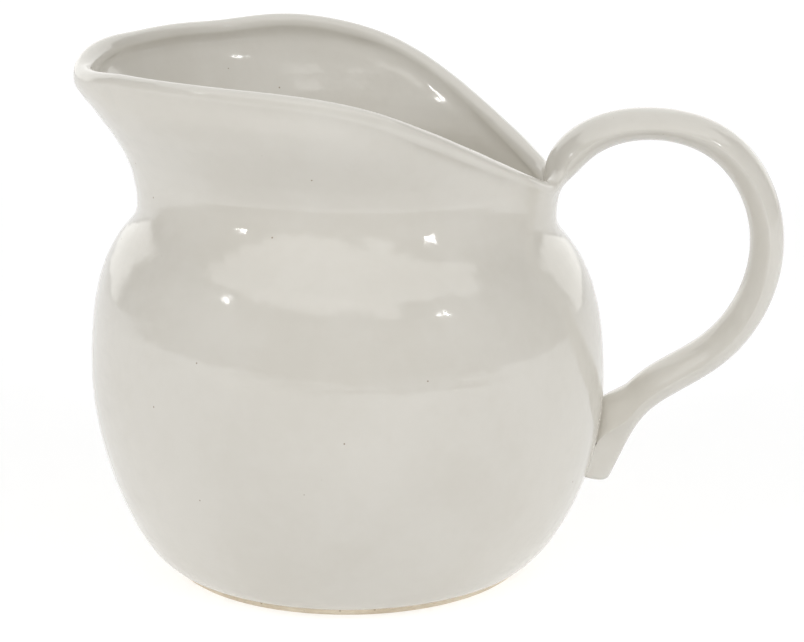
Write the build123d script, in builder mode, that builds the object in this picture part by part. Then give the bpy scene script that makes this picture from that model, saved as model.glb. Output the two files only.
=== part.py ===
"""Round-bellied ceramic pitcher with a leaning neck, a drawn-out spout and a pulled strap handle.

The pot is made the way a potter makes it. A base disc closes a thrown belly, a separately thrown
collar is joined at the waist crease, a coil rounds off its rim, and a pulled handle is stuck on
with slip at both ends. Millimetres, +Z up. The origin is the centre of the foot on the table.
The spout points along -X and the handle along +X. The XZ plane is the plane of symmetry.
"""
import os
from math import cos, exp, log, pi, radians, sin

from build123d import *

# Foot and base
foot_radius = 57.0
foot_inner_radius = 50.0
foot_height = 2.0
foot_edge_round = 0.8
floor_height = 8.0
base_radius = 44.0

# Belly: the largest ring and the crease at the waist
belly_radius = 82.2
belly_height = 61.2
crease_radius = 66.4
crease_height = 111.8
wall = 4.6

# The pot leans: its rings are level up to the floor and reach the full lean at lean_height
full_lean = 2.2
lean_height = 60.0

# Collar: how far its middle surface moves out at the rim, by direction
collar_reach = 46.5
collar_side_flare = 1.5
collar_forward_shift = 3.8
flare_lateness = 1.7
spout_throw = 14.7
spout_spread = 41.0

# Neck: how far the collar is squeezed in at both sides, and how high over the crease
neck_tuck = 8.5
neck_height = 21.0

# Rim line in side view
rim_top = 163.9
rim_fall_slope = 0.78
rim_fall_start = 12.0
rim_fall_softness = 14.0
spout_dip = 4.5
spout_dip_start = 83.0
spout_dip_length = 10.0
rim_bead_radius = 2.9
nose_swelling = 0.6
nose_spread = 15.0
bead_lift = 0.03

# Handle: its centre line in side view, from the rim round to the end of the tail
handle_line = [
    (64.2, 119.0),
    (66.4, 127.0),
    (74.0, 136.8),
    (95.3, 143.0),
    (118.3, 134.9),
    (132.4, 112.0),
    (130.6, 89.0),
    (115.6, 68.9),
    (91.2, 52.0),
    (83.4, 34.5),
    (80.8, 26.4),
]
handle_half_width = 10.0
handle_half_thickness = 5.5
root_half_thickness = 3.2
root_ends = 0.09
tail_half_thickness = 3.1
tail_starts = 0.83

# Slip fillets: the skirt around the handle's root, and the pad along the belly under its tail
root_skirt_width = 3.2
root_skirt_length = 13.0
tail_pad_line = [(82.4, 51.5), (81.4, 44.0), (79.6, 35.5), (77.3, 28.0), (76.4, 25.4)]
tail_pad_half_width = 11.8
tail_pad_half_thickness = 1.9

belly_steps = 7
collar_points = 24
collar_levels = 9
collar_top = 60.0
rim_sections = 14
handle_sections = 24
skirt_sections = 4
pad_sections = 5

os.makedirs("parts", exist_ok=True)


def ease(t):
    """Smooth step from 0 to 1."""
    t = min(max(t, 0.0), 1.0)
    return t * t * (3 - 2 * t)


def bezier(points, t):
    """Point of a cubic Bezier curve given as four (radius, height) pairs."""
    weights = ((1 - t) ** 3, 3 * (1 - t) ** 2 * t, 3 * (1 - t) * t**2, t**3)
    radius = sum(w * p[0] for w, p in zip(weights, points))
    height = sum(w * p[1] for w, p in zip(weights, points))
    return radius, height


def lean_at(height):
    """Lean of the ring at this height, in degrees."""
    share = min(max(height - floor_height, 0.0) / (lean_height - floor_height), 1.0)
    return full_lean * sin(share * pi / 2)


def ring_plane(height):
    """Plane of a ring: its -X side stands higher than its +X side."""
    lean = radians(lean_at(height))
    return Plane(origin=(0, 0, height), x_dir=(cos(lean), 0, -sin(lean)), z_dir=(sin(lean), 0, cos(lean)))


def belly_rings(lower, upper):
    """(radius, height) of the rings that the belly is lofted through."""
    rising = [bezier(lower, i / belly_steps) for i in range(belly_steps + 1)]
    closing = [bezier(upper, i / belly_steps) for i in range(1, belly_steps + 1)]
    return rising + closing


outer_rings = belly_rings(
    [(foot_radius, foot_height), (66.4, 2.6), (belly_radius, 33.5), (belly_radius, belly_height)],
    [
        (belly_radius, belly_height),
        (belly_radius, 88.3),
        (crease_radius + 11.5, crease_height - 10.4),
        (crease_radius, crease_height),
    ],
)
inner_belly = belly_radius - wall
inner_crease = crease_radius - wall
inner_rings = belly_rings(
    [(base_radius, floor_height), (60.0, 8.5), (inner_belly, 35.5), (inner_belly, belly_height)],
    [
        (inner_belly, belly_height),
        (inner_belly, 85.0),
        (inner_crease + 11.0, crease_height - 12.5),
        (inner_crease, crease_height),
    ],
)

waist = ring_plane(crease_height)


def flare(rise):
    """Share of the rim's outward throw that the collar has reached at this height over the crease."""
    return ease((max(rise, 0.0) / collar_reach) ** flare_lateness)


def squeeze(rise):
    """Share of the neck's squeeze at this height over the crease: none at the crease and at the rim."""
    closing = sin(min(max(rise / neck_height, 0.0), 1.0) * pi / 2)
    return closing * (1 - ease((rise - neck_height) / (collar_reach - neck_height)))


def collar_radius(angle, rise):
    """Radius of the collar's middle surface; the angle is counted from the spout, in degrees."""
    turn = abs((angle + 180) % 360 - 180)
    throw = collar_side_flare + collar_forward_shift * cos(radians(turn))
    throw += spout_throw * exp(-((turn / spout_spread) ** 2))
    tuck = neck_tuck * sin(radians(turn)) ** 2
    return crease_radius - wall / 2 + throw * flare(rise) - tuck * squeeze(rise)


def collar_point(angle, rise, offset=0.0):
    """Point of the collar in the waist plane's own axes."""
    radius = collar_radius(angle, rise) + offset
    return Vector(-radius * cos(radians(angle)), radius * sin(radians(angle)), rise)


def rim_height(x):
    """Height of the rim line: level from the spout to mid pot, then falling to the handle."""
    fall = rim_fall_slope * rim_fall_softness * log(1 + exp((x - rim_fall_start) / rim_fall_softness))
    dip = spout_dip * exp(-(x + spout_dip_start) / spout_dip_length)
    return rim_top - fall - dip


def rim_slope(x):
    """Slope of the rim line."""
    fall = rim_fall_slope / (1 + exp(-(x - rim_fall_start) / rim_fall_softness))
    dip = spout_dip / spout_dip_length * exp(-(x + spout_dip_start) / spout_dip_length)
    return dip - fall


def rim_point(angle):
    """Point where the collar's middle surface meets the rim line."""
    low, high = 0.0, collar_top
    for _ in range(40):
        middle = (low + high) / 2
        point = waist.from_local_coords(collar_point(angle, middle))
        if point.Z < rim_height(point.X):
            low = middle
        else:
            high = middle
    return point


# Filled shapes that the walls are cut from
with BuildPart() as belly_form:
    for radius, height in outer_rings:
        with BuildSketch(ring_plane(height)):
            Circle(radius)
    loft()

with BuildPart() as belly_hollow:
    for radius, height in inner_rings:
        with BuildSketch(ring_plane(height)):
            Circle(radius)
    loft()


def collar_form(offset):
    """Solid inside the collar's surface, moved out from its middle by this offset."""
    with BuildPart() as form:
        for level in range(collar_levels + 1):
            rise = collar_top * level / collar_levels
            with BuildSketch(waist.offset(rise)):
                with BuildLine():
                    ring = [collar_point(360 * i / collar_points, rise, offset) for i in range(collar_points)]
                    Spline(*[(p.X, p.Y) for p in ring], periodic=True)
                make_face()
        loft()
    return form.part


collar_outside = collar_form(wall / 2)
collar_inside = collar_form(-wall / 2)

# Everything above the rim line
with BuildPart() as above_rim:
    with BuildSketch(Plane.XZ):
        with BuildLine():
            stations = [-100 + 10 * i for i in range(21)]
            rim_line = Spline(*[(x, rim_height(x)) for x in stations])
            Polyline(rim_line @ 1, (100, 220), (-100, 220), rim_line @ 0)
        make_face()
    extrude(amount=110, both=True)

# Foot ring: the bare clay ring that the pot stands on
with BuildPart() as foot_ring:
    with BuildSketch():
        Circle(foot_radius)
        Circle(foot_inner_radius, mode=Mode.SUBTRACT)
    extrude(amount=foot_height)
    fillet(foot_ring.edges().filter_by(GeomType.CIRCLE).group_by(Axis.Z)[0], foot_edge_round)

# Base disc: closes the belly, inside the foot ring
with BuildPart() as base_disc:
    with BuildSketch(Plane.XY.offset(foot_height)):
        Circle(base_radius)
    extrude(amount=floor_height - foot_height)

# Belly wall, from the foot ring to the waist crease
with BuildPart() as belly_wall:
    add(belly_form.part)
    add(belly_hollow.part, mode=Mode.SUBTRACT)
    add(base_disc.part, mode=Mode.SUBTRACT)

# Collar: the neck with its spout
with BuildPart() as collar:
    add(collar_outside)
    add(collar_inside, mode=Mode.SUBTRACT)
    add(above_rim.part, mode=Mode.SUBTRACT)


def rim_section_plane(angle):
    """Plane across the rim: its x axis runs through the wall and its y axis stands on the rim."""
    point = rim_point(angle)
    along = rim_point(angle + 1) - rim_point(angle - 1)
    up = Vector(-rim_slope(point.X), 0, 1).normalized()
    return Plane(origin=point + up * bead_lift, x_dir=up.cross(along), z_dir=along)


# Rim bead: a rounded coil on the collar's edge, thicker at the spout's nose; one side is mirrored
with BuildPart() as rim_bead:
    for section in range(rim_sections + 1):
        angle = 180 * section / rim_sections
        radius = rim_bead_radius + nose_swelling * exp(-((angle / nose_spread) ** 2))
        with BuildSketch(rim_section_plane(angle)):
            with BuildLine():
                CenterArc((0, 0), radius, 0, 180)
                Line((-radius, 0), (radius, 0))
            make_face()
    loft()
    mirror(about=Plane.XZ)

# The pot's outside as one filled form: the handle and the slip fillets end on it
with BuildPart() as pot_outside:
    add(collar_outside)
    add(above_rim.part, mode=Mode.SUBTRACT)


def strap(points, sections, length_share, half_size):
    """Loft through ellipses set across a line drawn through side-view points.

    half_size gives the half thickness and the half width at a share of the line's length.
    """
    with BuildLine(mode=Mode.PRIVATE):
        line = Spline(*[(x, 0, z) for x, z in points])
    with BuildPart() as solid:
        for section in range(sections + 1):
            share = length_share * section / sections
            half_thickness, half_width = half_size(share)
            across = Plane(origin=line @ share, x_dir=(0, 1, 0), z_dir=line % share)
            with BuildSketch(across):
                Ellipse(half_width, half_thickness)
        loft()
    return solid.part


def handle_half_size(share):
    """Half thickness and half width of the handle; it is thinner at its root and its tail."""
    root_loss = (handle_half_thickness - root_half_thickness) * ease(1 - share / root_ends)
    tail_loss = (handle_half_thickness - tail_half_thickness) * ease((share - tail_starts) / (1 - tail_starts))
    return handle_half_thickness - root_loss - tail_loss, handle_half_width


handle_strap = strap(handle_line, handle_sections, 1.0, handle_half_size)
handle_length = Spline(*[(x, 0, z) for x, z in handle_line]).length
skirt_share = root_skirt_length / handle_length


def skirt_half_size(share):
    """The handle's own size, spread out towards the rim."""
    half_thickness, half_width = handle_half_size(share)
    spread = root_skirt_width * (1 - 0.9 * share / skirt_share)
    return half_thickness + spread, half_width + spread


# Handle: a pulled strap from the rim round to its tail on the belly
with BuildPart() as handle:
    add(handle_strap)
    add(pot_outside.part, mode=Mode.SUBTRACT)
    add(rim_bead.part, mode=Mode.SUBTRACT)
    add(belly_form.part, mode=Mode.SUBTRACT)

# Upper luting: the skirt of slip around the handle's root
with BuildPart() as upper_luting:
    add(strap(handle_line, skirt_sections, skirt_share, skirt_half_size))
    add(handle_strap, mode=Mode.SUBTRACT)
    add(pot_outside.part, mode=Mode.SUBTRACT)
    add(rim_bead.part, mode=Mode.SUBTRACT)
    add(belly_form.part, mode=Mode.SUBTRACT)

# Lower luting: the pad of slip that shows around the handle's tail
with BuildPart() as lower_luting:
    add(strap(tail_pad_line, pad_sections, 1.0, lambda share: (tail_pad_half_thickness, tail_pad_half_width)))
    add(handle_strap, mode=Mode.SUBTRACT)
    add(belly_form.part, mode=Mode.SUBTRACT)

foot_ring.part.label = "foot_ring"
export_step(foot_ring.part, "parts/foot_ring.step")

base_disc.part.label = "base_disc"
export_step(base_disc.part, "parts/base_disc.step")

belly_wall.part.label = "belly_wall"
export_step(belly_wall.part, "parts/belly_wall.step")

collar.part.label = "collar"
export_step(collar.part, "parts/collar.step")

rim_bead.part.label = "rim_bead"
export_step(rim_bead.part, "parts/rim_bead.step")

handle.part.label = "handle"
export_step(handle.part, "parts/handle.step")

upper_luting.part.label = "upper_luting"
export_step(upper_luting.part, "parts/upper_luting.step")

lower_luting.part.label = "lower_luting"
export_step(lower_luting.part, "parts/lower_luting.step")
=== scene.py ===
"""Glazed ceramic pitcher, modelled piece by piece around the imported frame.

Sizes below are in millimetres and are turned to metres when a mesh is finished. The pot's pieces share one
skin: rows of points around the axis, from the foot up the outside, over the rim and down the inside. Each
piece is a stretch of rows, so its neighbours meet it exactly and the glaze runs over the joints.
"""

from math import atan2, cos, pi, radians, sin, tau

import bmesh
import bpy
import numpy as np
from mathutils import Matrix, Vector
from mathutils.bvhtree import BVHTree


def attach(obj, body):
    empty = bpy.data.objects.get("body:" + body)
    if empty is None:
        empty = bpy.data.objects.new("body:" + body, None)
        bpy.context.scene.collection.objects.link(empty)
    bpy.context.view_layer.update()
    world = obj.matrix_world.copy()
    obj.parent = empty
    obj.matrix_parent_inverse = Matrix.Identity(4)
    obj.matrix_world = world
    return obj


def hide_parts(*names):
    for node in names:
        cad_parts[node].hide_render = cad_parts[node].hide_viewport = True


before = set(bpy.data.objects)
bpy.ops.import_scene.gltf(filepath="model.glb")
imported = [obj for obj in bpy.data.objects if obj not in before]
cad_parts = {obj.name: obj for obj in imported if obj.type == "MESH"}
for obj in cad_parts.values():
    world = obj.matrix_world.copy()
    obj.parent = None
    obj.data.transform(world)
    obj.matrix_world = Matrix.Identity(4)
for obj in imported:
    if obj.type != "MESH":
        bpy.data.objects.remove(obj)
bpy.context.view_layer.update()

MM = 0.001

# Foot, base and belly
foot_radius = 57.0
foot_inner_radius = 50.0
foot_height = 2.0
foot_edge_round = 0.8
foot_low_radius = 53.5
floor_height = 8.0
base_radius = 44.0
belly_radius = 82.2
belly_height = 61.2
crease_radius = 66.4
crease_height = 111.8
wall = 4.6
full_lean = 2.2
lean_height = 60.0

# Collar and its chest, the fullness under the spout
collar_reach = 46.5
collar_side_flare = 1.5
collar_forward_shift = 3.8
flare_lateness = 1.7
spout_throw = 14.7
spout_spread = 41.0
chest_swelling = 1.7
chest_top = 47.0

# Rim line in side view, and its rolled edge
rim_top = 163.9
rim_fall_slope = 0.78
rim_fall_start = 12.0
rim_fall_softness = 14.0
rim_bead_radius = 2.9
nose_swelling = 0.7
nose_spread = 15.0
nose_height_share = 0.45
bead_foot = 8.5

# The hand's unevenness in the rim line: a pressed and twisted spout, a hump and a hollow on the far side
spout_press = 2.8
nose_dip = 2.2
nose_twist = 1.2
hump = 0.62
hump_place = -20.0
hollow = 0.65
hollow_place = -43.0

# Neck: how far the collar is squeezed in at both sides, and how high over the crease
neck_tuck = 8.6
neck_height = 17.5

# Handle: x, z and half thickness along its middle, from the rim round to the end of the tail
handle_line = [
    (64.3, 118.5, 2.2),
    (64.8, 123.2, 3.0),
    (67.3, 129.2, 4.9),
    (73.8, 136.6, 5.5),
    (95.3, 143.0, 5.0),
    (118.8, 135.4, 5.4),
    (132.4, 112.0, 5.4),
    (130.6, 89.0, 5.4),
    (116.0, 68.4, 5.6),
    (91.9, 51.4, 5.3),
    (83.9, 34.3, 3.7),
    (80.8, 26.4, 3.1),
]
handle_half_width = 9.5
tail_round = 1.8
tail_round_rings = 12
crotch_gap = 5.2       # how far the strap's back stands off the belly where slip starts to bridge the gap
edge_press_length = 13.0
back_press_length = 7.0
back_press_lead = 5.0

# Slip: how far it climbs the handle and spreads on the pot at the root's edges, cavity side and underside
root_climb = (8.0, 5.0, 1.8)
root_spread = (9.0, 2.0, 1.5)
tail_seam_lead = 11.0
tail_seam_width = 1.6

turns = 288            # points around the pot
handle_turns = 72      # points around the handle
handle_stations = 150  # rings along the handle

angles = np.arange(turns) * tau / turns     # counted from the spout
spout_turn = np.degrees(np.abs((angles + pi) % tau - pi))
nose = np.exp(-((spout_turn / nose_spread) ** 2))


# ---------------------------------------------------------------- curves

def ease(t):
    """Smooth step from 0 to 1."""
    t = np.clip(t, 0.0, 1.0)
    return t * t * (3 - 2 * t)


def bezier(points, t):
    """Point of a cubic Bezier curve; the points may be numbers, vectors or whole rows."""
    weights = ((1 - t) ** 3, 3 * (1 - t) ** 2 * t, 3 * (1 - t) * t**2, t**3)
    return sum(w * np.asarray(p, float) for w, p in zip(weights, points))


def unit(rows):
    """The same vectors, each one unit long."""
    return rows / np.maximum(np.linalg.norm(rows, axis=-1, keepdims=True), 1e-12)


def spline_through(points, samples):
    """Points of a natural cubic spline through the given ones, evenly spaced in its own parameter."""
    points = np.asarray(points, float)
    knots = np.concatenate([[0], np.cumsum(np.linalg.norm(np.diff(points, axis=0), axis=1))])
    steps = np.diff(knots)
    count = len(points)
    system = np.eye(count)
    bends = np.zeros_like(points)
    for i in range(1, count - 1):
        system[i, i - 1:i + 2] = steps[i - 1], 2 * (steps[i - 1] + steps[i]), steps[i]
        rise = (points[i + 1] - points[i]) / steps[i] - (points[i] - points[i - 1]) / steps[i - 1]
        bends[i] = 6 * rise
    bends = np.linalg.solve(system, bends)
    places = np.linspace(0, knots[-1], samples)
    spans = np.clip(np.searchsorted(knots, places, side="right") - 1, 0, count - 2)
    span = steps[spans][:, None]
    ahead = (knots[spans + 1] - places)[:, None]
    behind = (places - knots[spans])[:, None]
    start_bend, end_bend = bends[spans], bends[spans + 1]
    line = (start_bend * ahead**3 + end_bend * behind**3) / (6 * span)
    line += (points[spans] / span - start_bend * span / 6) * ahead
    line += (points[spans + 1] / span - end_bend * span / 6) * behind
    return line


# ---------------------------------------------------------------- the pot's skin

def lean_at(height):
    """Lean of the ring at this height, in radians."""
    share = np.clip((height - floor_height) / (lean_height - floor_height), 0, 1)
    return np.radians(full_lean) * np.sin(share * pi / 2)


def hand_wobble(height):
    """How far the thrown wall wanders from a true circle, never outwards of it."""
    wander = 0.16 * np.sin(2 * angles + 0.9 + height / 70) + 0.09 * np.sin(3 * angles + 2.1 - height / 40)
    throwing = 0.035 * np.sin(height / 1.15 + 1.6 * np.sin(height / 19) + angles)
    return wander + throwing - 0.3


def belly_row(radius, height):
    """A ring of the belly: its -X side stands higher than its +X side."""
    lean = lean_at(height)
    radius = radius + hand_wobble(height) * ease((height - 6) / 14)
    along = -radius * np.cos(angles)
    return np.stack([along * np.cos(lean), radius * np.sin(angles), height - along * np.sin(lean)], axis=1)


def level_row(radius, height):
    """A true level ring."""
    return np.stack([-radius * np.cos(angles), radius * np.sin(angles), np.full(turns, height)], axis=1)


def collar_radius(rise):
    """Radius of the collar's middle surface at a rise over the crease."""
    throw = collar_side_flare + collar_forward_shift * np.cos(angles)
    throw = throw + spout_throw * np.exp(-((spout_turn / spout_spread) ** 2))
    reached = ease((np.maximum(rise, 0) / collar_reach) ** flare_lateness)
    closing = np.sin(np.clip(rise / neck_height, 0, 1) * pi / 2)
    closing = closing * (1 - ease((rise - neck_height) / (collar_reach - neck_height)))
    tuck = neck_tuck * (1 - np.cos(angles) ** 4) * closing
    chest = chest_swelling * np.exp(-((spout_turn / spout_spread) ** 2))
    chest = chest * np.sin(np.clip(rise / chest_top, 0, 1) * pi)
    return crease_radius - wall / 2 + throw * reached + chest - tuck + hand_wobble(crease_height + rise)


def from_waist(radius, rise):
    """Row in the pot's own axes, from radii and rises in the leaning plane of the waist."""
    lean = np.radians(full_lean)
    along = -radius * np.cos(angles)
    x = along * np.cos(lean) + rise * np.sin(lean)
    z = crease_height - along * np.sin(lean) + rise * np.cos(lean)
    return np.stack([x, radius * np.sin(angles), z], axis=1)


def collar_lean(rise):
    """Angle by which the collar's wall leans out, in the plane through the axis."""
    return np.arctan2(collar_radius(rise + 0.2) - collar_radius(rise - 0.2), 0.4)


def collar_row(rise, across):
    """Row of the collar at this rise, moved off its middle surface by `across`."""
    tilt = collar_lean(rise)
    return from_waist(collar_radius(rise) + across * np.cos(tilt), rise - across * np.sin(tilt))


def rim_height(x, y):
    """Height of the rim line: level from the spout to mid pot, then falling to the handle."""
    fall = rim_fall_slope * rim_fall_softness * np.log(1 + np.exp((x - rim_fall_start) / rim_fall_softness))
    press = spout_press * np.exp(-((y / 20) ** 2)) * ease(-x / 60)
    dip = nose_dip * np.exp(-(x + 83) / 13)
    twist = nose_twist * np.tanh(y / 8) * ease((-x - 66) / 14)
    waves = hump * np.exp(-(((x - hump_place) / 14) ** 2))
    waves = waves - hollow * np.exp(-(((x - hollow_place) / 11) ** 2))
    return rim_top - fall - press - dip + twist + waves * ease(y / 30)


def find_rim():
    """Rise at which the collar's middle surface meets the rim line, all the way round."""
    low, high = np.zeros(turns), np.full(turns, 60.0)
    for _ in range(40):
        middle = (low + high) / 2
        row = from_waist(collar_radius(middle), middle)
        below = row[:, 2] < rim_height(row[:, 0], row[:, 1])
        low, high = np.where(below, middle, low), np.where(below, high, middle)
    return low


rim_rise = find_rim()
rim_row = from_waist(collar_radius(rim_rise), rim_rise)
rim_run = unit(np.roll(rim_row, -1, axis=0) - np.roll(rim_row, 1, axis=0))
wall_run = unit(collar_row(rim_rise + 0.2, 0) - collar_row(rim_rise - 0.2, 0))
rim_stretch = 1 / np.sqrt(1 - np.sum(rim_run * wall_run, axis=1) ** 2)
bead_radius = rim_bead_radius + nose_swelling * nose


def bead_rows(steps, foot_angle):
    """Rows over the rolled rim, from its outer side over the top to its inner side."""
    rows = []
    for i in range(steps + 1):
        turn = radians(-foot_angle + (180 + 2 * foot_angle) * i / steps)
        climb = bead_radius * sin(turn) * (1 + nose_height_share * nose)
        rise = rim_rise + climb * rim_stretch * np.cos(collar_lean(rim_rise))
        rows.append(collar_row(rise, bead_radius * cos(turn)))
    return rows


def between(start, start_run, end, end_run, steps, pull=0.38):
    """Rows strictly between two others, leaving and arriving along the given directions."""
    reach = pull * np.linalg.norm(end - start, axis=1, keepdims=True)
    points = (start, start + unit(start_run) * reach, end - unit(end_run) * reach, end)
    return [bezier(points, i / steps) for i in range(1, steps)]


lower_outside = [(foot_radius, foot_height), (66.4, 2.6), (belly_radius, 33.5), (belly_radius, belly_height)]
upper_outside = [(belly_radius, belly_height), (belly_radius, 88.3),
                 (crease_radius + 11.5, crease_height - 10.4), (crease_radius, crease_height)]
inner_belly = belly_radius - wall
inner_crease = crease_radius - wall
lower_inside = [(base_radius, floor_height), (60.0, 8.5), (inner_belly, 35.5), (inner_belly, belly_height)]
upper_inside = [(inner_belly, belly_height), (inner_belly, 85.0),
                (inner_crease + 11.0, crease_height - 12.5), (inner_crease, crease_height)]

crease_leaves = 0.88      # share of the belly's upper curve at which the crease's fillet starts
crease_rise = np.minimum(6.0, 0.34 * rim_rise)
bead_drop = np.minimum(bead_foot * rim_stretch * np.cos(collar_lean(rim_rise)), 0.42 * rim_rise)


def belly_rows(lower, upper, last):
    """Rows of a belly surface from its foot up to a share of its upper curve."""
    rising = [belly_row(*bezier(lower, i / 34)) for i in range(35)]
    closing = [belly_row(*bezier(upper, last * i / 30)) for i in range(1, 31)]
    return rising + closing


def collar_rows(across, steps=26):
    """Rows of a collar surface from the crease's fillet up to the foot of the bead."""
    top = rim_rise - bead_drop
    return [collar_row(crease_rise + (top - crease_rise) * i / steps, across) for i in range(steps + 1)]


outer_belly = belly_rows(lower_outside, upper_outside, crease_leaves)
inner_belly_rows = belly_rows(lower_inside, upper_inside, crease_leaves)
outer_collar = collar_rows(wall / 2 - 0.15)
inner_collar = collar_rows(-wall / 2 + 0.15)
outer_crease = between(outer_belly[-1], outer_belly[-1] - outer_belly[-2],
                       outer_collar[0], outer_collar[1] - outer_collar[0], 10)
inner_crease_rows = between(inner_belly_rows[-1], inner_belly_rows[-1] - inner_belly_rows[-2],
                            inner_collar[0], inner_collar[1] - inner_collar[0], 10)
bead = bead_rows(28, 26.0)
outer_groove = between(outer_collar[-1], outer_collar[-1] - outer_collar[-2],
                       bead[0], bead[1] - bead[0], 9, 0.34)
inner_groove = between(inner_collar[-1], inner_collar[-1] - inner_collar[-2],
                       bead[-1], bead[-2] - bead[-1], 9, 0.42)


def floor_row(radius):
    """Row of the inside floor, with the slow spiral that the thrower's finger leaves."""
    spiral = 0.22 * np.sin(radius / 1.9 - angles) * ease(radius / 8) * ease((base_radius - radius) / 9)
    return level_row(radius, floor_height + spiral - 0.25 * ease((base_radius - radius) / 9))


inside_floor = [floor_row(radius) for radius in np.linspace(base_radius, 0, 30)]

# The whole skin, from the foot up the outside, over the rim and down the inside to the middle of the floor
skin = outer_belly + outer_crease + outer_collar + outer_groove + bead
outside_count = len(skin)
skin += inner_groove[::-1] + inner_collar[::-1] + inner_crease_rows[::-1]
belly_inside_start = len(skin)
skin += inner_belly_rows[::-1] + inside_floor[1:]


def skin_normals(rows):
    """Outward normals of a skin given as rows from the foot over the rim to the inside."""
    grid = np.stack(rows)
    up = np.empty_like(grid)
    up[1:-1] = unit(grid[2:] - grid[1:-1]) + unit(grid[1:-1] - grid[:-2])
    up[0], up[-1] = grid[1] - grid[0], grid[-1] - grid[-2]
    around = np.roll(grid, -1, axis=1) - np.roll(grid, 1, axis=1)
    normals = unit(np.cross(up, around))
    normals[-1] = (0, 0, 1)
    return normals


normals = skin_normals(skin)
belly_level = len(outer_belly) // 2
if np.sum(normals[belly_level][:, :2] * skin[belly_level][:, :2]) < 0:
    normals = -normals


# ---------------------------------------------------------------- making a mesh from rows

def shape(name, rows, material, row_normals=None, closed=True, thin_and_lit=None):
    """A piece whose rings of points are given.

    An upright outline with one point for each row is spun once round, and each point then takes its place.
    A closed outline gives a ring-shaped piece, and an open one a tube with filled ends. Normals of zero
    length are left to the mesh. The last argument says at each point how much lighter the glaze is made:
    thinner glaze, and painted light on the top of the rim's bead.
    """
    steps = len(rows[0])
    bm = bmesh.new()
    outline = [bm.verts.new((1.0, 0.0, level)) for level in range(len(rows))]
    links = list(zip(outline, outline[1:])) + ([(outline[-1], outline[0])] if closed else [])
    edges = [bm.edges.new(link) for link in links]
    bmesh.ops.spin(bm, geom=outline + edges, cent=(0, 0, 0), axis=(0, 0, 1), dvec=(0, 0, 0), angle=tau,
                   steps=steps, use_merge=True, use_normal_flip=False, use_duplicate=False)
    if not closed:
        bmesh.ops.holes_fill(bm, edges=[e for e in bm.edges if e.is_boundary], sides=0)
    known = bm.verts.layers.float_vector.new("known_normal")
    thin_and_lit_layer = bm.verts.layers.float.new("thin_glaze_and_lit_top")
    for v in bm.verts:
        level = round(v.co.z)
        step = round(atan2(v.co.y, v.co.x) / tau * steps) % steps
        v[known] = Vector(row_normals[level][step]) if row_normals is not None else Vector()
        v[thin_and_lit_layer] = float(thin_and_lit[level][step]) if thin_and_lit is not None else 0.0
        v.co = Vector(rows[level][step]) * MM
    bmesh.ops.remove_doubles(bm, verts=bm.verts, dist=1e-6)
    bmesh.ops.recalc_face_normals(bm, faces=bm.faces)
    if sum(face.normal.dot(v[known]) for face in bm.faces for v in face.verts) < 0:
        bmesh.ops.reverse_faces(bm, faces=bm.faces)
    for face in bm.faces:
        face.smooth = True
    given = [v[known].copy() for v in bm.verts]
    bm.verts.layers.float_vector.remove(known)
    mesh = bpy.data.meshes.new(name)
    bm.to_mesh(mesh)
    bm.free()
    if row_normals is not None:
        mesh.normals_split_custom_set_from_vertices(given)
    piece = bpy.data.objects.new(name, mesh)
    bpy.context.scene.collection.objects.link(piece)
    mesh.materials.append(material)
    return piece


def surface_of(rows):
    """A search tree of a surface given as rows, in millimetres."""
    steps = len(rows[0])
    points = [Vector(p) for row in rows for p in row]
    faces = []
    for level in range(len(rows) - 1):
        for step in range(steps):
            after = (step + 1) % steps
            low, high = level * steps, (level + 1) * steps
            faces.append((low + step, high + step, high + after, low + after))
    return BVHTree.FromPolygons(points, faces)


# ---------------------------------------------------------------- materials

def group_socket(group, name, kind, way, value=None):
    socket = group.interface.new_socket(name=name, in_out=way, socket_type=kind)
    if value is not None:
        socket.default_value = value


def new_group(name, inputs, outputs):
    """An empty shader group with named sockets: (name, socket kind, default value)."""
    group = bpy.data.node_groups.new(name, "ShaderNodeTree")
    for label, kind, value in inputs:
        group_socket(group, label, kind, "INPUT", value)
    for label, kind in outputs:
        group_socket(group, label, kind, "OUTPUT")
    return group, group.nodes.new("NodeGroupInput").outputs, group.nodes.new("NodeGroupOutput").inputs


class Wiring:
    """Short hand for adding nodes to one tree and joining them."""

    def __init__(self, tree):
        self.tree = tree

    def add(self, kind, inputs=(), **settings):
        node = self.tree.nodes.new(kind)
        for name, value in settings.items():
            setattr(node, name, value)
        for name, value in dict(inputs).items():
            if isinstance(value, bpy.types.NodeSocket):
                self.tree.links.new(value, node.inputs[name])
            else:
                node.inputs[name].default_value = value
        return node

    def maths(self, operation, first, second=0.0, clamp=False):
        node = self.add("ShaderNodeMath", {0: first, 1: second}, operation=operation, use_clamp=clamp)
        return node.outputs[0]

    def noise(self, place, scale, detail=2.0, roughness=0.5):
        node = self.add("ShaderNodeTexNoise", {"Vector": place, "Scale": scale, "Detail": detail,
                                               "Roughness": roughness})
        return node.outputs["Fac"]

    def spread(self, value, low, high, to_low=0.0, to_high=1.0, smooth=True):
        kind = "SMOOTHSTEP" if smooth else "LINEAR"
        node = self.add("ShaderNodeMapRange", {"Value": value, "From Min": low, "From Max": high,
                                               "To Min": to_low, "To Max": to_high}, interpolation_type=kind)
        return node.outputs["Result"]

    def blend(self, share, first, second):
        node = self.add("ShaderNodeMix", {0: share, 6: first, 7: second}, data_type="RGBA")
        return node.outputs[2]


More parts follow.
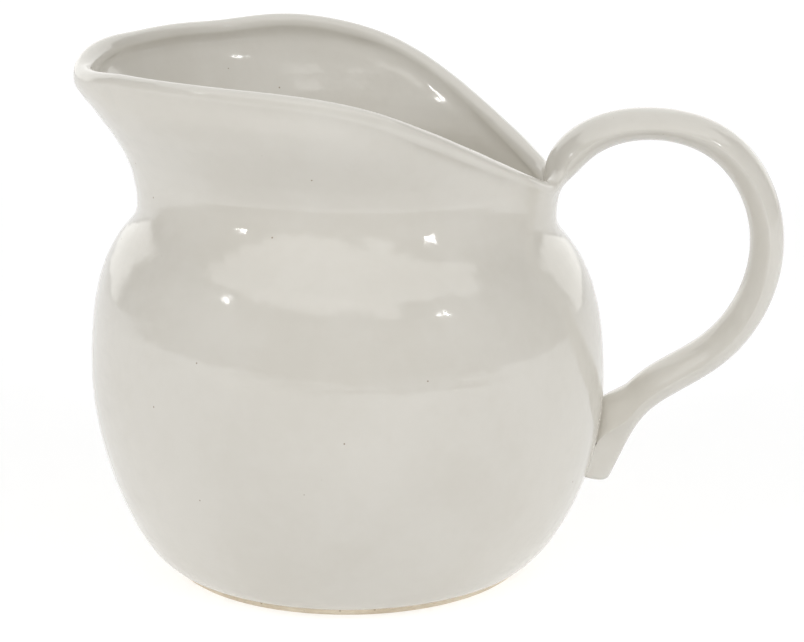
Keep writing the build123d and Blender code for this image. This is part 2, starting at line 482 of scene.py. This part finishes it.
def make_cloud_group():
    """Slow drifts of glaze thickness: a mask from 0 to 1."""
    group, given, out = new_group(
        "glaze_clouds",
        [("Place", "NodeSocketVector", None), ("Size", "NodeSocketFloat", 28.0)],
        [("Mask", "NodeSocketFloat")],
    )
    wiring = Wiring(group)
    wide = wiring.noise(given["Place"], given["Size"], 3.0, 0.55)
    fine = wiring.noise(given["Place"], wiring.maths("MULTIPLY", given["Size"], 7.0), 3.0, 0.6)
    both = wiring.maths("ADD", wiring.maths("MULTIPLY", wide, 0.75), wiring.maths("MULTIPLY", fine, 0.25))
    group.links.new(wiring.spread(both, 0.36, 0.64), out["Mask"])
    return group


def make_speck_group():
    """Pin specks of iron in the clay: a mask that is 1 in a few tiny dots."""
    group, given, out = new_group(
        "iron_specks",
        [("Place", "NodeSocketVector", None), ("Density", "NodeSocketFloat", 95.0),
         ("Radius", "NodeSocketFloat", 0.036)],
        [("Mask", "NodeSocketFloat")],
    )
    wiring = Wiring(group)
    cells = wiring.add("ShaderNodeTexVoronoi", {"Vector": given["Place"], "Scale": given["Density"]},
                       feature="F1")
    near = wiring.maths("DIVIDE", cells.outputs["Distance"], given["Radius"])
    group.links.new(wiring.spread(near, 1.0, 0.45), out["Mask"])
    return group


def make_ripple_group():
    """Unevenness of the glaze's skin as a height: slow waves, orange peel and faint throwing rings."""
    group, given, out = new_group(
        "glaze_ripple",
        [("Place", "NodeSocketVector", None), ("Peel", "NodeSocketFloat", 0.12),
         ("Rings", "NodeSocketFloat", 0.10)],
        [("Height", "NodeSocketFloat")],
    )
    wiring = Wiring(group)
    slow = wiring.noise(given["Place"], 34.0, 1.0, 0.4)
    peel = wiring.maths("MULTIPLY", wiring.noise(given["Place"], 260.0, 1.0, 0.4), given["Peel"])
    flat = wiring.add("ShaderNodeMapping", {"Vector": given["Place"], "Scale": (6.0, 6.0, 190.0)})
    rings = wiring.maths("MULTIPLY", wiring.noise(flat.outputs[0], 1.0, 2.0, 0.5), given["Rings"])
    total = wiring.maths("ADD", wiring.maths("ADD", slow, peel), rings)
    group.links.new(total, out["Height"])
    return group


def make_glaze():
    """Ivory glaze over a pale body: glossy, slightly uneven, thinner and lighter along edges, with painted
    light on the top of the rim's bead.
    """
    material = bpy.data.materials.new("ivory_glaze")
    material.use_nodes = True
    tree = material.node_tree
    wiring = Wiring(tree)
    surface = tree.nodes["Principled BSDF"]
    place = wiring.add("ShaderNodeTexCoord").outputs["Object"]
    clouds = wiring.add("ShaderNodeGroup", node_tree=make_cloud_group())
    specks = wiring.add("ShaderNodeGroup", node_tree=make_speck_group())
    ripple = wiring.add("ShaderNodeGroup", node_tree=make_ripple_group())
    for node in (clouds, specks, ripple):
        tree.links.new(place, node.inputs["Place"])
    # Lighter glaze on the rim's bead: partly thinner glaze, partly painted light on the bead's top.
    thin_and_lit = wiring.add("ShaderNodeAttribute", attribute_name="thin_glaze_and_lit_top").outputs["Fac"]
    colour = wiring.blend(clouds.outputs["Mask"], ivory_deep, ivory)
    colour = wiring.blend(wiring.maths("MULTIPLY", thin_and_lit, 0.8, clamp=True), colour, ivory_thin_and_lit)
    colour = wiring.blend(wiring.maths("MULTIPLY", specks.outputs["Mask"], 0.75), colour, speck_brown)
    tree.links.new(colour, surface.inputs["Base Color"])
    gloss = wiring.spread(clouds.outputs["Mask"], 0.0, 1.0, 0.075, 0.115, smooth=False)
    tree.links.new(gloss, surface.inputs["Roughness"])
    bump = wiring.add("ShaderNodeBump", {"Height": ripple.outputs["Height"], "Strength": 1.0,
                                         "Distance": 0.0007})
    tree.links.new(bump.outputs[0], surface.inputs["Normal"])
    surface.inputs["IOR"].default_value = 1.58
    return material


def make_bare_clay():
    """The wiped foot: dry pale stoneware with a fine tooth."""
    material = bpy.data.materials.new("bare_stoneware")
    material.use_nodes = True
    tree = material.node_tree
    wiring = Wiring(tree)
    surface = tree.nodes["Principled BSDF"]
    place = wiring.add("ShaderNodeTexCoord").outputs["Object"]
    clouds = wiring.add("ShaderNodeGroup", {"Size": 60.0}, node_tree=bpy.data.node_groups["glaze_clouds"])
    specks = wiring.add("ShaderNodeGroup", {"Density": 420.0, "Radius": 0.2},
                        node_tree=bpy.data.node_groups["iron_specks"])
    for node in (clouds, specks):
        tree.links.new(place, node.inputs["Place"])
    colour = wiring.blend(clouds.outputs["Mask"], clay_dark, clay_pale)
    colour = wiring.blend(wiring.maths("MULTIPLY", specks.outputs["Mask"], 0.5), colour, speck_brown)
    tree.links.new(colour, surface.inputs["Base Color"])
    surface.inputs["Roughness"].default_value = 0.85
    tooth = wiring.noise(place, 1500.0, 4.0, 0.7)
    bump = wiring.add("ShaderNodeBump", {"Height": tooth, "Strength": 0.6, "Distance": 0.0003})
    tree.links.new(bump.outputs[0], surface.inputs["Normal"])
    return material


ivory = (0.552, 0.532, 0.486, 1)
ivory_deep = (0.530, 0.508, 0.459, 1)
# The bead's lighter tone: thinner glaze, and painted light on the bead's top.
ivory_thin_and_lit = (0.560, 0.540, 0.495, 1)
speck_brown = (0.16, 0.10, 0.05, 1)
clay_pale = (0.62, 0.55, 0.44, 1)
clay_dark = (0.52, 0.44, 0.33, 1)

glaze = make_glaze()
bare_clay = make_bare_clay()


# ---------------------------------------------------------------- the pot's pieces

no_normals = np.zeros((turns, 3))
seam_rows = 4                                               # rows of a fillet or groove before its seam
belly_top = len(outer_belly) + seam_rows                    # the seam in the middle of the outer crease
bead_start = outside_count - len(bead) - seam_rows - 1      # the seam in the groove under the bead
bead_end = outside_count + seam_rows
belly_inside_top = outside_count + len(inner_groove) + len(inner_collar) + seam_rows
belly_inside_end = belly_inside_start + len(inner_belly_rows) - 1


def pot_piece(name, ranges, hidden=(), thin_and_lit_range=None):
    """A closed piece of the pot from stretches of the skin, both ends included, and hidden rows."""
    rows, known, thin_and_lit = [], [], []
    for first, last in ranges:
        rows += skin[first:last + 1]
        known += list(normals[first:last + 1])
        for index in range(first, last + 1):
            share = 0.0
            if thin_and_lit_range and thin_and_lit_range[0] <= index <= thin_and_lit_range[1]:
                share = sin(pi * (index - thin_and_lit_range[0]) / (thin_and_lit_range[1] - thin_and_lit_range[0]))
            thin_and_lit.append(np.full(turns, share))
    rows += hidden
    known += [no_normals] * len(hidden)
    thin_and_lit += [np.zeros(turns)] * len(hidden)
    return shape(name, rows, glaze, known, thin_and_lit=thin_and_lit)


bead_zone = (outside_count - len(bead), outside_count - 1)
underside = [level_row(radius, foot_height) for radius in (base_radius, 47.0, foot_inner_radius, 54.0)]
glazed_belly = pot_piece("glazed_belly", [(0, belly_top), (belly_inside_top, belly_inside_end)], underside)
glazed_collar = pot_piece("glazed_collar", [(belly_top, bead_start), (bead_end, belly_inside_top)])
# The rim's bead is painted lighter towards its top: thinner glaze there, and painted light.
rolled_rim = pot_piece("rolled_rim", [(bead_start, bead_end)], thin_and_lit_range=bead_zone)

disc_top = [skin[i] for i in range(belly_inside_end, len(skin))]
disc_under = [level_row(radius, foot_height + 0.25 * ease((base_radius - radius) / 6))
              for radius in np.linspace(0.0, base_radius, 12)]
disc_normals = list(normals[belly_inside_end:]) + [no_normals] * len(disc_under)
bottom_disc = shape("bottom_disc", disc_top + disc_under, glaze, disc_normals)


def foot_outline():
    """(radius, height) of the foot ring's section, from its outer top round the worn edge."""
    edge = foot_edge_round
    bends = np.linspace(0, pi / 2, 7)
    outer = [(foot_radius - edge + edge * cos(a), edge - edge * sin(a)) for a in bends]
    inner = [(foot_inner_radius + edge - edge * sin(a), edge - edge * cos(a)) for a in bends]
    ends = (foot_radius, foot_height), (foot_inner_radius, foot_height)
    return [ends[0], *outer, (foot_low_radius, 0.0), *inner, ends[1]]


bare_foot = shape("bare_foot", [level_row(radius, height) for radius, height in foot_outline()], bare_clay)


# ---------------------------------------------------------------- handle

pot_surface = surface_of(skin[:belly_inside_top])


def nearest(point):
    """The pot's nearest point and its outward normal there."""
    place, normal, _, _ = pot_surface.find_nearest(Vector(point))
    return np.array(place), np.array(normal)


def height_over_pot(point):
    """Distance from the pot's surface, negative inside its wall."""
    place, normal = nearest(point)
    return float(np.dot(point - place, normal))


drawn = spline_through(handle_line, 1200)
travel = np.concatenate([[0], np.cumsum(np.linalg.norm(np.diff(drawn[:, :2], axis=0), axis=1))])
rounding = np.sin(np.linspace(0, pi / 2, tail_round_rings + 1))[1:]
places = np.concatenate([np.linspace(0, travel[-1] - tail_round, handle_stations - tail_round_rings),
                         travel[-1] - tail_round * (1 - rounding)])
line_x, line_z, line_half = (np.interp(places, travel, column) for column in drawn.T)
centre_line = np.stack([line_x, np.zeros(handle_stations), line_z], axis=1)
runs = unit(np.gradient(centre_line, places, axis=0))
outwards = unit(np.stack([-runs[:, 2], np.zeros(handle_stations), runs[:, 0]], axis=1))
section_angles = np.arange(handle_turns) * tau / handle_turns
end_loss = np.clip((places - travel[-1] + tail_round) / tail_round, 0, 1)
end_loss = tail_round * (1 - np.sqrt(1 - end_loss**2))


def strap_row(index):
    """Ring of points around the strap: a lens with soft edges, slowly uneven in width."""
    share = places[index] / travel[-1]
    half_width = handle_half_width + 0.35 * sin(9.0 * share + 0.6) - 0.5 * ease(1 - share / 0.05)
    rise = np.sin(section_angles)
    across = (half_width - end_loss[index]) * np.cos(section_angles)
    height = (line_half[index] - end_loss[index]) * np.sign(rise) * np.abs(rise) ** 1.5
    return centre_line[index] + np.outer(across, (0, 1, 0)) + np.outer(height, outwards[index])


strap = np.stack([strap_row(i) for i in range(handle_stations)])
half_turn = handle_turns // 2
back = half_turn + handle_turns // 4


def find_crotch():
    """Station at which the strap's back comes down to the belly."""
    index = int(np.searchsorted(places, 0.7 * travel[-1]))
    while height_over_pot(strap[index][back]) > crotch_gap:
        index += 1
    return index


crotch = find_crotch()


def settle_tail():
    """The tail is pressed on the belly: its edges droop to the wall and its back goes just into it."""
    for index in range(crotch - 4, handle_stations):
        press = ease((places[index] - places[crotch]) / edge_press_length)
        back_press = ease((places[index] - places[crotch] + back_press_lead) / back_press_length)
        for step in range(handle_turns):
            side = abs(cos(section_angles[step])) ** 3
            place, normal = nearest(strap[index][step])
            gap = float(np.dot(strap[index][step] - place, normal))
            droop = press * side * max(gap - 0.25, 0.0)
            if step > half_turn:
                droop += back_press * (1 - side) * max(gap + 0.6, 0.0)
            strap[index][step] -= normal * min(droop, gap + 1.2)


settle_tail()


def band_normals(grid, outside):
    """Normals of rings of points, turned to the side on which the given vectors lie."""
    along = np.gradient(grid, axis=0)
    around = np.roll(grid, -1, axis=1) - np.roll(grid, 1, axis=1)
    found = unit(np.cross(along, around))
    return found if np.sum(found * outside) > 0 else -found


strap_normals = band_normals(strap, strap - centre_line[:, None, :])
pulled_handle = shape("pulled_handle", list(strap), glaze, list(strap_normals), closed=False)


# ---------------------------------------------------------------- slip fillets at the handle's ends

def on_line(grid, step, place):
    """Value on one of the strap's long lines, at a distance from its start."""
    return np.array([np.interp(place, places, grid[:, step, axis]) for axis in range(3)])


def smooth_loop(values, times):
    """Values around a loop, each drawn to its neighbours a number of times."""
    for _ in range(times):
        values = (np.roll(values, 1, axis=0) + 2 * values + np.roll(values, -1, axis=0)) / 4
    return values


def fillet_band(name, tops, top_normals, corners, feet, steps=12, sunk=0.8):
    """A ring-shaped fillet from `tops` on the handle to `feet` on the pot, hollowed towards `corners`."""
    tops, top_normals, corners, feet = (np.asarray(p, float) for p in (tops, top_normals, corners, feet))
    foot_normals = np.array([nearest(foot)[1] for foot in feet])
    lift = np.maximum(np.sum((feet - corners) * foot_normals, axis=1), 0.0)
    raised = corners + foot_normals * lift[:, None]
    grid = np.stack([(1 - t) ** 2 * tops + 2 * t * (1 - t) * raised + t**2 * feet
                     for t in np.linspace(0, 1, steps + 1)])
    for level in range(1, steps + 1):
        for step in range(len(tops)):
            place, normal = nearest(grid[level][step])
            least = 0.05 * (1 - level / steps) - 0.01
            if float(np.dot(grid[level][step] - place, normal)) < least:
                grid[level][step] = place + normal * least
    known = band_normals(grid, top_normals + foot_normals)
    known[0], known[-1] = top_normals, foot_normals
    known[1], known[-2] = unit(known[1] + top_normals), unit(known[-2] + foot_normals)
    inner = corners - foot_normals * sunk
    hidden = [feet * 0.4 + inner * 0.6 - foot_normals * sunk, inner]
    return shape(name, list(grid) + hidden, glaze, list(known) + [np.zeros(tops.shape)] * 2)


def root_band():
    """Fillet all round the handle's root, where it grows out of the rim."""
    leaves = []
    for step in range(handle_turns):
        heights = [height_over_pot(strap[index][step]) for index in range(30)]
        last = max([index for index, height in enumerate(heights) if height < 0], default=0)
        share = np.clip(heights[last] / (heights[last] - heights[last + 1]), 0, 1)
        leaves.append(places[last] + share * (places[last + 1] - places[last]))
    leaves = smooth_loop(np.array(leaves), 4)
    tops, top_normals, corners, feet = [], [], [], []
    for step in range(handle_turns):
        side = cos(section_angles[step]) ** 2
        above = sin(section_angles[step]) > 0
        climb = root_climb[0] * side + root_climb[1 if above else 2] * (1 - side)
        spread = root_spread[0] * side + root_spread[1 if above else 2] * (1 - side)
        corner = nearest(on_line(strap, step, leaves[step]))[0]
        away = np.array([0, cos(section_angles[step]), 0]) + outwards[8] * sin(section_angles[step])
        tops.append(on_line(strap, step, leaves[step] + climb))
        top_normals.append(on_line(strap_normals, step, leaves[step] + climb))
        corners.append(corner)
        feet.append(nearest(corner + unit(away) * spread)[0])
    corners, feet = smooth_loop(np.array(corners), 3), smooth_loop(np.array(feet), 3)
    feet = [nearest(foot)[0] for foot in feet]
    return fillet_band("root_slip", tops, top_normals, corners, feet)


root_slip = root_band()


def tail_band():
    """A narrow seam of slip along both edges of the tail and round its end.

    The rest of its loop runs hidden between the strap and the belly.
    """
    tops, top_normals, corners, feet = [], [], [], []
    last = handle_stations - 1
    start = int(np.searchsorted(places, places[crotch] + tail_seam_lead))
    seam = list(range(start, last - tail_round_rings + 1))

    def seam_point(index, step, top_index, top_step, away):
        corner = nearest(strap[index][step])[0]
        tops.append(strap[top_index][top_step])
        top_normals.append(strap_normals[top_index][top_step])
        corners.append(corner)
        feet.append(nearest(corner + away)[0])

    def growth(index):
        return float(ease((index - start + 1) / 6))

    def seam_width(index):
        return 0.3 + (tail_seam_width - 0.3) * growth(index)

    for index in seam:
        seam_point(index, 0, index, round(1 + 3 * growth(index)), np.array((0, seam_width(index), 0)))
    for step in range(0, half_turn + 1, 2):
        side = cos(section_angles[step])
        away = unit(runs[last] * (1 - abs(side)) + np.array((0, side, 0))) * 1.5
        seam_point(last, step, last - 8, min(max(step, 4), half_turn - 4), away)
    for index in reversed(seam):
        seam_point(index, half_turn, index, half_turn - round(1 + 3 * growth(index)),
                   np.array((0, -seam_width(index), 0)))
    for step in range(half_turn + 3, handle_turns - 2, 2):
        corner, normal = nearest(strap[start + 1][step])
        tops.append(corner + normal * 0.5)
        top_normals.append(normal)
        corners.append(corner)
        feet.append(corner + runs[start] * 1.0)
    corners, feet = smooth_loop(np.array(corners), 1), smooth_loop(np.array(feet), 1)
    feet = [nearest(foot)[0] for foot in feet]
    return fillet_band("tail_slip", tops, top_normals, corners, feet, steps=7, sunk=0.6)


tail_slip = tail_band()


# ---------------------------------------------------------------- the frame

pieces = [
    (glazed_belly, "belly_wall", "glaze"),
    (glazed_collar, "collar", "glaze"),
    (rolled_rim, "rim_bead", "glaze"),
    (bottom_disc, "base_disc", "glaze"),
    (pulled_handle, "handle", "glaze"),
    (root_slip, "upper_luting", "glaze"),
    (tail_slip, "lower_luting", "glaze"),
    (bare_foot, "foot_ring", "bare_clay"),
]
for piece, node, slot in pieces:
    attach(piece, "root")
    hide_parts(node)


# ---------------------------------------------------------------- stage, light and camera

def make_floor():
    """A plain pale table top."""
    bm = bmesh.new()
    bmesh.ops.create_grid(bm, x_segments=1, y_segments=1, size=1.0)
    bmesh.ops.scale(bm, vec=(1.9, 1.9, 1.0), verts=bm.verts)
    mesh = bpy.data.meshes.new("floor")
    bm.to_mesh(mesh)
    bm.free()
    material = bpy.data.materials.new("pale_floor")
    material.use_nodes = True
    surface = material.node_tree.nodes["Principled BSDF"]
    surface.inputs["Base Color"].default_value = (0.93, 0.93, 0.93, 1)
    surface.inputs["Roughness"].default_value = 0.9
    surface.inputs["Specular IOR Level"].default_value = 0.0
    surface.inputs["Emission Color"].default_value = (1, 1, 1, 1)
    surface.inputs["Emission Strength"].default_value = 0.1
    mesh.materials.append(material)
    floor = bpy.data.objects.new("floor", mesh)
    bpy.context.scene.collection.objects.link(floor)


def make_world():
    """Soft even light for the eye and the matt surfaces; a dim room with a bright ceiling for the gloss."""
    world = bpy.data.worlds.new("studio")
    bpy.context.scene.world = world
    world.use_nodes = True
    tree = world.node_tree
    wiring = Wiring(tree)
    rays = wiring.add("ShaderNodeLightPath").outputs
    split = wiring.add("ShaderNodeSeparateXYZ",
                       {0: wiring.add("ShaderNodeTexCoord").outputs["Generated"]}).outputs
    across, depth, height = split[0], split[1], split[2]
    bearing = wiring.maths("ARCTAN2", across, wiring.maths("MULTIPLY", depth, -1.0))
    steps = wiring.add("ShaderNodeTexWhiteNoise",
                       {"W": wiring.maths("FLOOR", wiring.maths("MULTIPLY", bearing, 3.1))},
                       noise_dimensions="1D").outputs["Value"]
    skyline = wiring.maths("ADD", wiring.maths("MULTIPLY", steps, 0.10), 0.67)
    over = wiring.spread(wiring.maths("SUBTRACT", height, skyline), -0.02, 0.03)
    under = wiring.spread(height, -0.10, -0.13)
    behind = wiring.spread(wiring.maths("ABSOLUTE", bearing), 2.15, 2.3)
    bright = wiring.maths("MAXIMUM", wiring.maths("MAXIMUM", over, under), behind)
    room = wiring.blend(bright, room_dim, room_bright)
    dome = wiring.blend(wiring.maths("MULTIPLY", across, across), dome_middle, dome_sides)
    seen = wiring.blend(rays["Is Glossy Ray"], dome, room)
    tree.links.new(seen, tree.nodes["Background"].inputs["Color"])
    tree.nodes["Background"].inputs["Strength"].default_value = 1.0


room_dim = (0.22, 0.21, 0.19, 1)
room_bright = (1.55, 1.54, 1.50, 1)
dome_middle = (0.42, 0.42, 0.42, 1)
dome_sides = (0.56, 0.56, 0.56, 1)


def make_lamp(name, towards, size, watts, distance=1.2, soft=False):
    """A lamp in this direction from the middle of the pot; a soft one casts no shadow and no highlight."""
    light = bpy.data.lights.new(name, "AREA")
    light.shape = "DISK"
    light.size = size
    light.energy = watts
    lamp = bpy.data.objects.new(name, light)
    aim = Vector((0, 0, 0.08))
    lamp.location = aim + Vector(towards).normalized() * distance
    lamp.rotation_euler = (aim - lamp.location).to_track_quat("-Z", "Y").to_euler()
    if soft:
        light.use_shadow = False
        lamp.visible_glossy = False
    bpy.context.scene.collection.objects.link(lamp)


camera_elevation = radians(16)
camera_distance = 1.0
camera_aim = Vector((0.01721, 0, 0.07843))
view_width = 0.25728        # width of the view at the pot, in metres
sensor_width = 36.0


def make_camera():
    camera = bpy.data.cameras.new("camera")
    camera.sensor_width = sensor_width
    camera.lens = sensor_width * camera_distance / view_width
    camera.clip_start = 0.01
    view = bpy.data.objects.new("camera", camera)
    back = Vector((0, -cos(camera_elevation), sin(camera_elevation)))
    view.location = camera_aim + back * camera_distance
    view.rotation_euler = (radians(90) - camera_elevation, 0, 0)
    bpy.context.scene.collection.objects.link(view)
    bpy.context.scene.camera = view


make_floor()
make_world()
make_lamp("left_lamp", (-0.700, -0.380, 0.600), 0.045, 0.3)
make_lamp("right_lamp", (0.650, -0.465, 0.600), 0.045, 0.3)
make_lamp("left_fill", (-0.75, -0.55, 0.5), 1.2, 12.0, 1.6, soft=True)
make_lamp("right_fill", (0.75, -0.55, 0.5), 1.2, 12.0, 1.6, soft=True)
make_lamp("back_fill", (0, 0.9, 0.5), 1.2, 7.6, 1.6, soft=True)
make_camera()
bpy.context.scene.view_settings.view_transform = "Standard"
